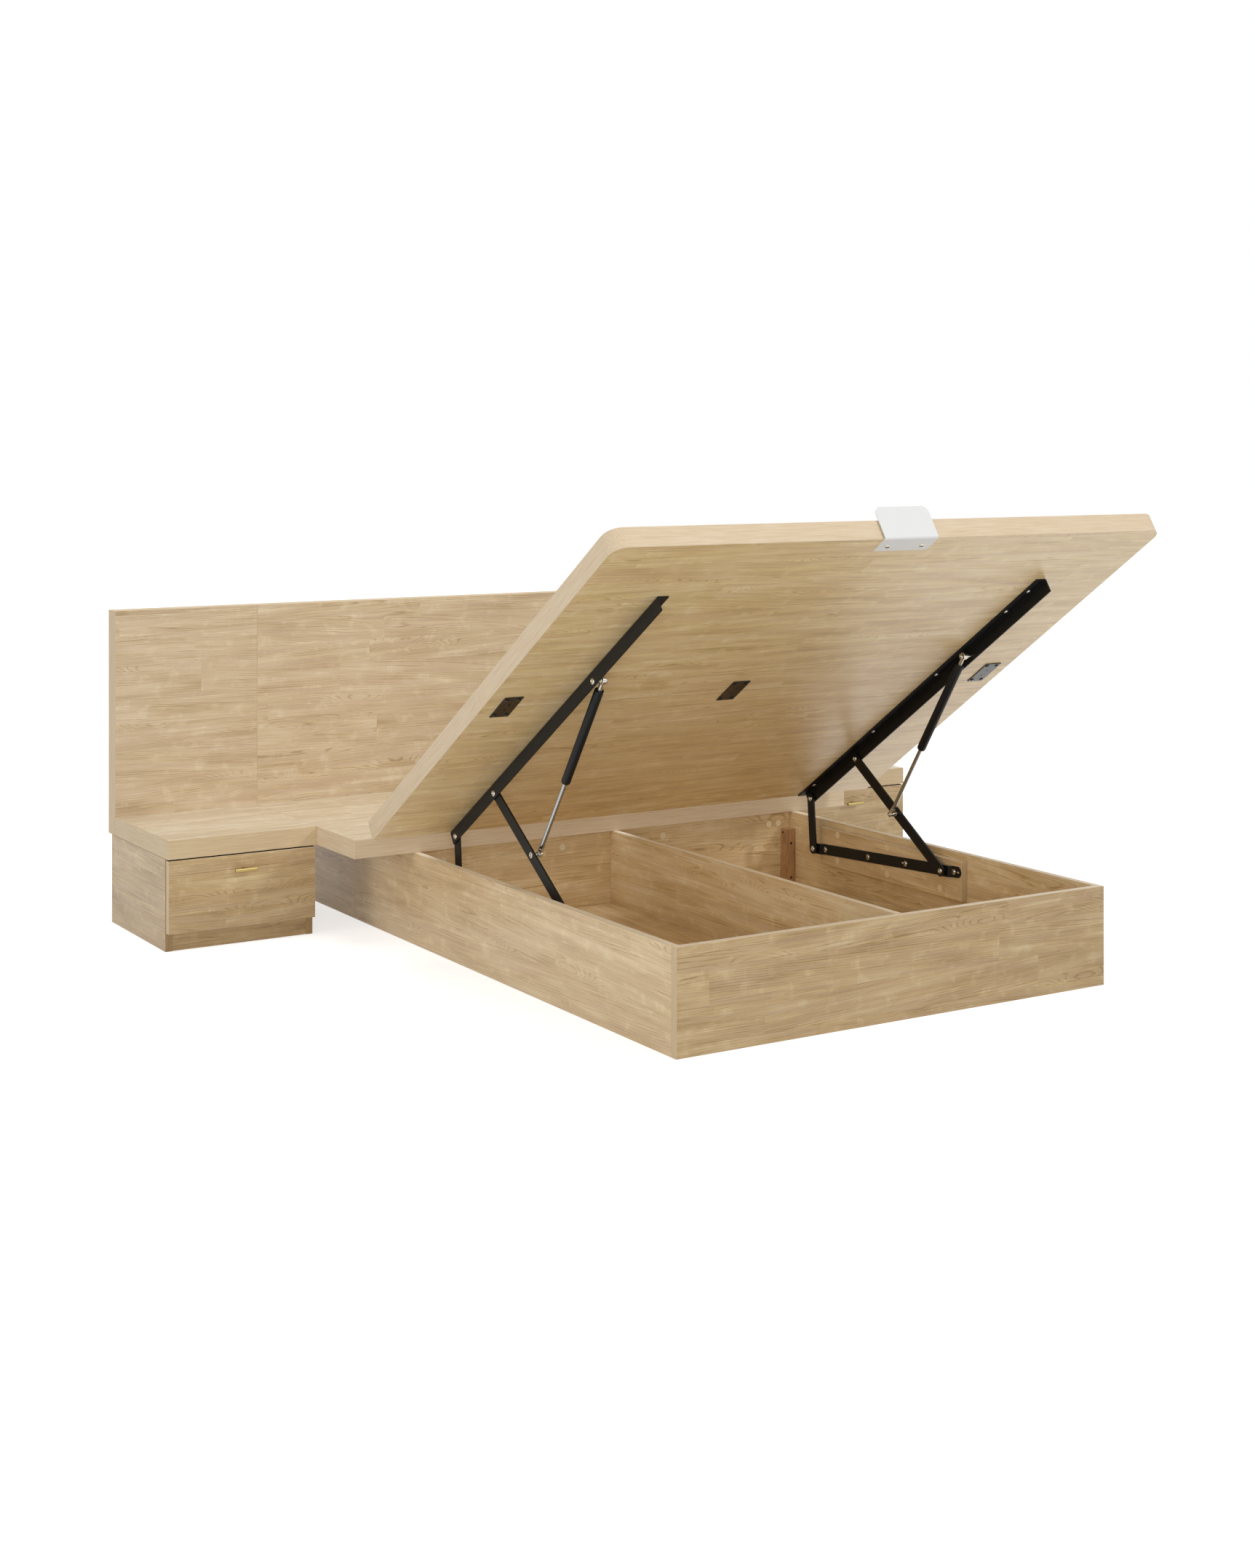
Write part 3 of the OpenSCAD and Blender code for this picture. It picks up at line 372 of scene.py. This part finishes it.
def board(node, grain, rounded=0.0, tilt=0.0, pivot=(0, 0, 0), face=None, edge=None,
          upper=None, bevel=0.9 * MM):
    """A laminated board with edging, in place of a CAD node: its edges are broken, and
    each face carries its own grain coordinates, in millimetres, for the materials."""
    turn = Matrix.Rotation(tilt, 4, "X") @ Matrix.Translation(-Vector(pivot))
    corners = [turn @ v.co for v in NODES[node].data.vertices]
    low = Vector([min(c[i] for c in corners) for i in range(3)])
    high = Vector([max(c[i] for c in corners) for i in range(3)])
    size = high - low
    thin = min(range(3), key=lambda i: size[i])
    bm = bmesh.new()
    bmesh.ops.create_cube(bm, size=1.0)
    bmesh.ops.scale(bm, vec=size, verts=bm.verts)
    bmesh.ops.translate(bm, vec=(low + high) / 2, verts=bm.verts)
    if rounded:
        upright = [e for e in bm.edges
                   if abs((e.verts[0].co - e.verts[1].co)[thin]) > size[thin] * 0.9
                   and e.verts[0].co.y < low.y + MM]
        bmesh.ops.bevel(bm, geom=upright, offset=rounded, segments=18, affect="EDGES",
                        profile=0.5, material=-1)
    flat_edges = [e for e in bm.edges if e.calc_face_angle(0) > math.radians(30)]
    bmesh.ops.bevel(bm, geom=flat_edges, offset=bevel, segments=2, affect="EDGES",
                    profile=0.5, material=-1)
    dice = random.Random(node)
    start = Vector([dice.uniform(-3000, 3000) for _ in range(3)])
    layer = bm.loops.layers.float_vector.new("grain")
    bm.normal_update()
    for f in bm.faces:
        axis = max(range(3), key=lambda i: abs(f.normal[i]))
        along, across = grain_axes(size, axis, thin, AXES.index(grain))
        f.material_index = 0 if abs(f.normal[thin]) > 0.95 else 1
        # Faces that look up take the upper finish where one is given: paler, as painted light, on
        # the box's top edges and the lid's upper side, and a dark painted shade on the drawer
        # fronts' tops
        if upper and f.normal.z > 0.95:
            f.material_index = 2
        f.smooth = False
        for loop in f.loops:
            place = (loop.vert.co - low) / MM
            loop[layer] = start + Vector((place[along], place[across], place[axis]))
    bmesh.ops.transform(bm, matrix=turn.inverted(), verts=bm.verts)
    mesh = bpy.data.meshes.new(node + "_board")
    bm.to_mesh(mesh)
    bm.free()
    mesh.materials.append(face or ASH)
    mesh.materials.append(edge or ASH_EDGE)
    if upper:
        mesh.materials.append(upper)
    piece = bpy.data.objects.new(node + "_board", mesh)
    bpy.context.scene.collection.objects.link(piece)
    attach(piece, NODES[node]["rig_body"])
    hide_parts(node)


GRAIN_ALONG = {
    "X": ["foot_panel", "head_cross_panel", "rear_panel", "platform_center",
          "left_nightstand_top", "right_nightstand_top", "headboard_left_panel",
          "headboard_center_panel", "headboard_right_panel", "left_drawer_front",
          "right_drawer_front"],
    "Y": ["left_side_panel", "right_side_panel", "center_divider", "rear_divider",
          "left_hinge_board", "right_hinge_board", "left_nightstand_outer_side",
          "right_nightstand_outer_side", "left_nightstand_inner_side",
          "right_nightstand_inner_side", "left_floor_panel", "right_floor_panel"],
}
SHADES = {
    ASH_TOP: ["platform_center", "left_nightstand_top", "right_nightstand_top"],
    ASH_SIDE: ["left_side_panel"],
    ASH_FRONT: ["foot_panel", "left_drawer_front", "right_drawer_front",
                "left_nightstand_outer_side", "right_nightstand_outer_side"],
    ASH_INSIDE: ["right_side_panel", "head_cross_panel", "center_divider", "rear_divider",
                 "left_hinge_board", "right_hinge_board", "left_floor_panel", "right_floor_panel"],
}
# Boards whose edging differs, and top edges that differ from a board's others: edging darkened
# as painted shade on the nightstand sides, pale edging as painted light on the top edges round
# the storage box, and painted shade on the drawer fronts' top edges, so the gap above reads black
EDGES = {
    "left_nightstand_outer_side": EDGE_SHADE, "left_nightstand_inner_side": EDGE_SHADE,
    "right_nightstand_outer_side": EDGE_SHADE, "right_nightstand_inner_side": EDGE_SHADE,
    "platform_center": SOFT_EDGE,
}
TOP_EDGES = {
    "left_side_panel": PALE_EDGE, "right_side_panel": PALE_EDGE, "foot_panel": PALE_EDGE,
    "center_divider": PALE_EDGE, "left_hinge_board": PALE_EDGE, "right_hinge_board": PALE_EDGE,
    "left_drawer_front": GAP_SHADE, "right_drawer_front": GAP_SHADE,
}
for direction, names in GRAIN_ALONG.items():
    for name in names:
        shade = [finish for finish, boards in SHADES.items() if name in boards]
        board(name, direction, face=shade[0] if shade else ASH, upper=TOP_EDGES.get(name),
              edge=EDGES.get(name),
              bevel=1.6 * MM if name.endswith("hinge_board") else 0.9 * MM)

LID_TILT = math.radians(33.4)
LID_EDGE = (0.0, 0.1784114, 0.2926263)
LID_CORNER = 36 * MM
for name, corner in (("lid_head_panel", 0.0), ("lid_foot_panel", LID_CORNER)):
    board(name, "X", rounded=corner, tilt=LID_TILT, pivot=LID_EDGE, face=ASH_LID,
          edge=SOFT_EDGE, upper=ASH_TOP, bevel=1.5 * MM)

# ---- Struts, rivets, bolts and screws ----

WEB_OUT = 542.0                     # outer face of the top rails' webs
LINK_IN, LINK_OUT = 533.5, 538.0    # faces of the lift arms and rear links
STRUT_X = 515.0                     # middle of the struts
STRUT_TOP = (-528.852, 733.228)     # Y and Z of the struts' upper studs
STRUT_FOOT = (-234.986, 301.276)    # and of their lower ones
STRUT_LEN = 522.43
TUBE_START, TUBE_LEN, TUBE_R, ROD_R = 27.0, 302.0, 11.0, 5.0

# Outlines are (radius, height) in millimetres, from the middle of the head outwards
RIVET = [(0, 0.5), (2.5, 0.5), (3.0, 0.9), (3.4, 2.1), (4.5, 2.4), (6.2, 1.9), (7.2, 0.9),
         (7.5, 0), (0, 0)]
PAN = [(0, 2.4), (2.0, 2.35), (3.6, 1.9), (4.6, 1.1), (5.0, 0.3), (5.0, 0), (0, 0)]
WASHER_PAN = [(0, 3.4), (2.6, 3.3), (4.6, 2.7), (5.6, 1.8), (5.8, 1.1), (7.2, 1.1), (7.5, 0.8),
              (7.5, 0), (0, 0)]
COUNTERSUNK = [(0, 0.5), (3.2, 0.4), (3.6, 0), (0, 0)]
LID_HEAD_WIDER = 1.3                # the lid's screw heads are drawn this much wider than PAN


def shape_into(bm, part, place):
    """Moves a finished part to its place and adds it to a piece."""
    bmesh.ops.remove_doubles(part, verts=part.verts, dist=1e-4)
    bmesh.ops.recalc_face_normals(part, faces=part.faces)
    bmesh.ops.transform(part, matrix=place, verts=part.verts)
    if place.determinant() < 0:
        bmesh.ops.reverse_faces(part, faces=part.faces)
    mesh = bpy.data.meshes.new("part")
    part.to_mesh(mesh)
    part.free()
    bm.from_mesh(mesh)
    bpy.data.meshes.remove(mesh)


def turned(bm, outline, place, steps=32):
    """A turned part: its outline spun round the place's own Z axis."""
    part = bmesh.new()
    points = [part.verts.new((radius, 0, height)) for radius, height in outline]
    edges = [part.edges.new(pair) for pair in zip(points, points[1:])]
    if outline[0][0] > 0 and outline[-1][0] > 0:
        edges.append(part.edges.new((points[-1], points[0])))
    bmesh.ops.spin(part, geom=points + edges, cent=(0, 0, 0), axis=(0, 0, 1),
                   angle=math.tau, steps=steps, use_merge=True)
    shape_into(bm, part, place)


def cross_recess(bm, height, reach, place):
    """A cross-head recess, drawn as two tapered slots sunk in a screw's head, black as painted
    shade.
    """
    for turn in (0, math.pi / 2):
        part = bmesh.new()
        bmesh.ops.create_cube(part, size=1.0)
        bmesh.ops.scale(part, vec=(2 * reach, 1.3, 0.5), verts=part.verts)
        bmesh.ops.translate(part, vec=(0, 0, height), verts=part.verts)
        outer = [e for e in part.edges if abs((e.verts[0].co - e.verts[1].co).z) > 0.4]
        bmesh.ops.bevel(part, geom=outer, offset=0.5, segments=2, affect="EDGES", profile=0.5,
                        material=-1)
        shape_into(bm, part, place @ Matrix.Rotation(turn, 4, "Z"))


def hexagon(bm, radius, low, high, place):
    """A six-sided nut with its corners eased."""
    part = bmesh.new()
    bmesh.ops.create_cone(part, cap_ends=True, segments=6, radius1=radius, radius2=radius,
                          depth=high - low)
    bmesh.ops.translate(part, vec=(0, 0, (high + low) / 2), verts=part.verts)
    bmesh.ops.bevel(part, geom=list(part.edges), offset=0.4, segments=2, affect="EDGES",
                    profile=0.5, material=-1)
    shape_into(bm, part, place)


def facing(side, x, y, z, inward):
    """A place on one side of the bed whose Z axis points at the bed's middle or away from it."""
    way = -side if inward else side
    return Matrix.Translation((side * x, y, z)) @ Matrix.Rotation(math.radians(90) * way, 4, "Y")


def finished(bm, name, material, body, slot, *nodes):
    """Scales a piece from millimetres, shades it smooth but for its corners, and hands it over."""
    bmesh.ops.scale(bm, vec=(MM, MM, MM), verts=bm.verts)
    for face in bm.faces:
        face.smooth = True
    for e in bm.edges:
        e.smooth = e.calc_face_angle(0) < math.radians(35)
    mesh = bpy.data.meshes.new(name)
    bm.to_mesh(mesh)
    bm.free()
    mesh.materials.append(material)
    piece = bpy.data.objects.new(name, mesh)
    bpy.context.scene.collection.objects.link(piece)
    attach(piece, body)
    if nodes:
        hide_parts(*nodes)


def scaled_head(outline, height):
    """The same head made lower or taller."""
    tall = max(h for _, h in outline)
    return [(r, h * height / tall) for r, h in outline]


def shank(radius, low, high):
    """The outline of a plain pin."""
    return [(0, low), (radius, low), (radius, high), (0, high)]


for side, word in ((-1, "left"), (1, "right")):
    # The strut's own axis: Z runs from the upper stud to the lower one
    top = Vector((side * STRUT_X, *STRUT_TOP))
    foot = Vector((side * STRUT_X, *STRUT_FOOT))
    down = Matrix.Translation(top) @ (foot - top).to_track_quat("Z", "X").to_matrix().to_4x4()
    across_top = facing(side, STRUT_X, *STRUT_TOP, True)
    across_foot = facing(side, STRUT_X, *STRUT_FOOT, True)

    tube = bmesh.new()
    turned(tube, [(0, TUBE_START), (9.4, TUBE_START), (10.6, 27.5), (TUBE_R, 28.8), (TUBE_R, 296),
                  (10.7, 298.6), (9.8, 300.6), (8.2, 301.7), (6.0, TUBE_LEN), (5.2, 301.6),
                  (5.2, 288), (9.6, 288), (9.6, 33), (0, 33)], down, 48)
    finished(tube, word + "_strut_tube", BLACK_STEEL, "strut_cylinders", "black_steel",
             word + "_strut_cylinder")

    head = bmesh.new()
    turned(head, [(0, 6), (4.6, 6), (4.9, 9), (4.9, 23), (5.8, 23.4), (5.8, 27.6), (0, 27.6)], down)
    turned(head, [(4.1, -5.4), (8.2, -5.4), (9.0, -4.6), (9.0, 4.6), (8.2, 5.4), (4.1, 5.4)],
           across_top)
    finished(head, word + "_strut_eye", NICKEL, "strut_cylinders", "nickel_steel",
             word + "_strut_cylinder")

    rod = bmesh.new()
    turned(rod, [(0, 274), (9.4, 274), (9.4, 286), (ROD_R, 286), (ROD_R, STRUT_LEN - 18),
                 (0, STRUT_LEN - 18)], down, 40)
    finished(rod, word + "_strut_ground_rod", POLISHED_ROD, "strut_rods", "polished_rod",
             word + "_strut_rod")

    socket = bmesh.new()
    turned(socket, [(0, STRUT_LEN - 19), (5.7, STRUT_LEN - 19), (6.2, STRUT_LEN - 17.5),
                    (6.2, STRUT_LEN - 11), (5.4, STRUT_LEN - 9.5), (4.6, STRUT_LEN - 4),
                    (0, STRUT_LEN - 4)], down)
    turned(socket, [(0, 8.8), (2.2, 8.7), (3.9, 7.7), (4.3, 6.4), (4.3, 5.6), (6.4, 5.4),
                    (7.1, 4.7), (7.1, -4.7), (6.4, -5.5), (0, -5.5)], across_foot)
    finished(socket, word + "_strut_foot_socket", NICKEL, "strut_rods", "nickel_steel",
             word + "_strut_rod")

studs = bmesh.new()
lid_rivets = bmesh.new()
arm_pins = bmesh.new()
link_pins = bmesh.new()
for side in (-1, 1):
    # Upper stud of the strut: rivet on the web, collar, and a nut inside the eye
    at = facing(side, STRUT_X, *STRUT_TOP, True)
    turned(studs, shank(4.0, -27.0, 8.0), at, 24)
    turned(studs, [(0, -9.2), (6.4, -9.2), (7.0, -8.7), (7.0, -6.9), (6.4, -6.4), (0, -6.4)], at)
    hexagon(studs, 7.0, 6.3, 10.3, at)
    turned(studs, [(0, 12.4), (1.8, 12.1), (3.2, 11.2), (3.7, 10.2), (0, 10.2)], at)
    turned(studs, RIVET, facing(side, WEB_OUT, *STRUT_TOP, False))

    # Lower stud, in the lift arm
    at = facing(side, STRUT_X, *STRUT_FOOT, True)
    turned(arm_pins, shank(4.0, -23.0, -6.4), at, 24)
    hexagon(arm_pins, 7.0, -18.5, -14.5, at)
    turned(arm_pins, scaled_head(RIVET, 0.7), facing(side, LINK_OUT, *STRUT_FOOT, False))

    # Pivots: (Y, Z), how far out the pin reaches, and the height of its outer head
    for bm, (y, z), reach, height in ((arm_pins, (-413.0, 182.5), 546.3, 2.2),
                                      (arm_pins, (-55.5, 421.1), 538.7, 0),
                                      (link_pins, (135.0, 153.4), 546.3, 2.2),
                                      (link_pins, (146.54, 287.89), 542.3, 2.2)):
        turned(bm, scaled_head(RIVET, 3.0), facing(side, LINK_IN, y, z, True))
        turned(bm, shank(4.0, 0, reach - LINK_IN), facing(side, LINK_IN, y, z, False), 24)
        if height:
            turned(bm, scaled_head(RIVET, height), facing(side, reach, y, z, False))
        if reach > 545:
            turned(bm, [(4.2, 0), (7.6, 0), (8.0, 0.4), (8.0, 3.8), (7.6, 4.2), (4.2, 4.2)],
                   facing(side, LINK_OUT, y, z, False))
    turned(arm_pins, shank(8.0, 0, 0.7), facing(side, LINK_OUT, -55.5, 421.1, False))
    turned(lid_rivets, shank(4.0, -3.0, 0), facing(side, WEB_OUT, -55.5, 421.1, False), 24)
    turned(lid_rivets, RIVET, facing(side, WEB_OUT, -55.5, 421.1, False))
finished(studs, "strut_upper_stud_set", NICKEL, "lid", "nickel_steel", "strut_upper_studs")
finished(arm_pins, "lift_arm_pin_set", NICKEL, "lift_arms", "nickel_steel", "lift_arm_pins")
finished(link_pins, "rear_link_pin_set", NICKEL, "rear_links", "nickel_steel", "rear_link_pins")

# Cross-head bolts of the base rails and screws of the lid's fittings
BASE_RAIL_BOLTS = ((-449.9, 184.5), (-254.0, 174.0), (-94.2, 165.6), (96.6, 155.4))
bolts = bmesh.new()
recesses = bmesh.new()
for side in (-1, 1):
    for number, (y, z) in enumerate(BASE_RAIL_BOLTS):
        at = facing(side, 548.0, y, z, True) @ Matrix.Rotation(number * 0.7, 4, "Z")
        turned(bolts, WASHER_PAN, at)
        turned(bolts, shank(3.0, -3.4, 0), at, 16)
        cross_recess(recesses, 3.28, 3.0, at)
    # Countersunk screws that hold the head-end posts, seen in their two inner faces: black, painted
    # shade of their holes
    turned(recesses, COUNTERSUNK, facing(side, 539.5, 286, 175, True))
    for z in (146, 51):
        turned(recesses, COUNTERSUNK, Matrix.Translation((side * 554.5, 267, z))
               @ Matrix.Rotation(math.radians(90), 4, "X"))
finished(bolts, "base_rail_bolt_set", NICKEL, "bed_base", "nickel_steel", "base_rail_bolts")
finished(recesses, "base_rail_bolt_recesses", RECESS_SHADE, "bed_base", "nickel_steel")

lid_recesses = bmesh.new()
under_lid = Matrix.Rotation(-LID_TILT, 4, "X") @ Matrix.Rotation(math.pi, 4, "X")
LID_UP = Vector((0, math.sin(LID_TILT), math.cos(LID_TILT)))
LID_UNDERSIDE = 342.51              # height of the lid's under side along LID_UP
RAIL_FLANGE, STOP_SHEET = 3.0, 2.5  # thicknesses that the screws go through
RAIL_SCREWS = ((118.0, 328.6), (-146.7, 503.1), (-408.0, 675.4), (-675.1, 851.6), (-756.1, 905.0))
PLATE_XS = (-688.0, -81.0, 688.0)   # middles of the joining plates
PLATE_HOLES = (-704.5, -678.5)      # their spare holes, along the lid from its head-end edge
HEAD_EDGE = (178.41, 292.63)        # Y and Z of that edge
places = [(x, y, z, LID_UNDERSIDE - RAIL_FLANGE) for x in (-527.0, 527.0) for y, z in RAIL_SCREWS]
places += [(x, -954.5, 1036.2, LID_UNDERSIDE - STOP_SHEET) for x in (-47.0, 47.0)]
for number, (x, y, z, level) in enumerate(places):
    spot = Vector((x, y, z))
    spot += LID_UP * (level - spot.dot(LID_UP))
    at = Matrix.Translation(spot) @ under_lid @ Matrix.Rotation(number * 0.9, 4, "Z")
    turned(lid_rivets, [(LID_HEAD_WIDER * r, h) for r, h in PAN], at)
    turned(lid_rivets, shank(2.5, -2.4, 0), at, 16)
    cross_recess(lid_recesses, 2.28, 3.2, at)
for x in PLATE_XS:
    # Painted shade: dark discs at the ends of the two spare holes in each joining plate
    for along in PLATE_HOLES:
        spot = Vector((x, HEAD_EDGE[0] + along * math.cos(LID_TILT),
                       HEAD_EDGE[1] - along * math.sin(LID_TILT)))
        spot += LID_UP * (LID_UNDERSIDE - spot.dot(LID_UP))
        turned(lid_recesses, [(0, 0.4), (2.1, 0.4), (2.1, 0), (0, 0)],
               Matrix.Translation(spot) @ under_lid, 16)
finished(lid_rivets, "lid_screw_set", NICKEL, "lid", "nickel_steel", "lid_screws")
finished(lid_recesses, "lid_screw_recesses", RECESS_SHADE, "lid", "nickel_steel")

# ---- CAD nodes that keep their own shape ----

FINISHES = [
    (POST_WOOD, ["corner_posts"]),
    (INNER_BOARD, ["floor_battens", "nightstand_floors",
                   "nightstand_back_panels", "left_drawer_box", "right_drawer_box"]),
    (KICK_BOARD, ["nightstand_kick_boards"]),
    (BLACK_STEEL, ["left_base_rail", "right_base_rail", "left_top_rail", "right_top_rail",
                   "left_lift_arm", "right_lift_arm", "left_rear_link", "right_rear_link",
                   "headboard_plates"]),
    (PLATE_STEEL, ["joining_plates"]),
    (ZINC, ["cabinet_runners", "left_drawer_runners", "right_drawer_runners",
            "left_middle_runners", "right_middle_runners"]),
    (BRASS, ["left_drawer_handle", "right_drawer_handle"]),
    (WHITE_STEEL, ["mattress_stop"]),
    (CAP, ["screw_caps"]),
]
for finish, names in FINISHES:
    for name in names:
        for holder in NODES[name].material_slots:
            holder.material = finish

# ---- Studio: pale floor, white surroundings, soft light from above, left and front ----


def seen(tree):
    """1 for what the eye sees, straight or by gloss or through glass, and 0 for lighting rays."""
    path = add(tree, "LightPath")
    either = add(tree, "Math", {0: path.outputs["Is Camera Ray"],
                                1: path.outputs["Is Glossy Ray"]}, operation="MAXIMUM")
    return add(tree, "Math", {0: either.outputs[0], 1: path.outputs["Is Transmission Ray"]},
               operation="MAXIMUM").outputs[0]


FLOOR_SIZE = 40.0
floor_bm = bmesh.new()
bmesh.ops.create_grid(floor_bm, x_segments=1, y_segments=1, size=FLOOR_SIZE / 2)
floor_mesh = bpy.data.meshes.new("studio_floor")
floor_bm.to_mesh(floor_mesh)
floor_bm.free()
floor = bpy.data.objects.new("studio_floor", floor_mesh)
bpy.context.scene.collection.objects.link(floor)
floor_material, tree, shader = new_material("studio_floor")
shader.inputs["Base Color"].default_value = linear("#D9D9D8")
shader.inputs["Roughness"].default_value = 0.9
shader.inputs["Specular IOR Level"].default_value = 0.0
# The floor's glow: dim near the bed, so that its shadow stays, and full white further off
far_off = add(tree, "VectorMath", {0: add(tree, "TexCoord").outputs["Object"]},
              operation="LENGTH")
glow = add(tree, "MapRange", {"Value": far_off.outputs["Value"], "From Min": 1.5,
                              "From Max": 4.5, "To Min": 0.66, "To Max": 1.0})
glow = add(tree, "Math", {0: seen(tree), 1: glow.outputs["Result"]}, operation="MULTIPLY")
shader.inputs["Emission Color"].default_value = (1, 1, 1, 1)
tree.links.new(glow.outputs[0], shader.inputs["Emission Strength"])
floor_mesh.materials.append(floor_material)

world = bpy.data.worlds.new("studio_world")
world.use_nodes = True
tree = world.node_tree
tree.nodes.clear()
strength = add(tree, "MapRange", {"Value": seen(tree), "To Min": 0.38, "To Max": 1.0})
background = add(tree, "Background", {"Color": (1, 1, 1, 1),
                                      "Strength": strength.outputs["Result"]})
add(tree, "OutputWorld", {"Surface": background.outputs[0]})
bpy.context.scene.world = world


def softbox(name, place, target, size, power):
    """A square area lamp turned to face a point."""
    lamp = bpy.data.lights.new(name, "AREA")
    lamp.size = size
    lamp.energy = power
    holder = bpy.data.objects.new(name, lamp)
    holder.location = place
    way = Vector(target) - Vector(place)
    holder.rotation_euler = way.to_track_quat("-Z", "Y").to_euler()
    bpy.context.scene.collection.objects.link(holder)


softbox("top_softbox", (0.0, 0.2, 4.8), (0, 0, 0), 4.0, 108)
softbox("front_left_softbox", (-3.2, -5.2, 1.2), (0, 0, 0.3), 2.0, 72)
softbox("front_right_softbox", (4.54, -6.05, 4.9), (-0.3, 0, 0.3), 0.9, 165)
softbox("left_softbox", (-5.0, -0.2, 1.6), (0, -0.1, 0.4), 2.0, 34)

bpy.context.scene.view_settings.view_transform = "Standard"
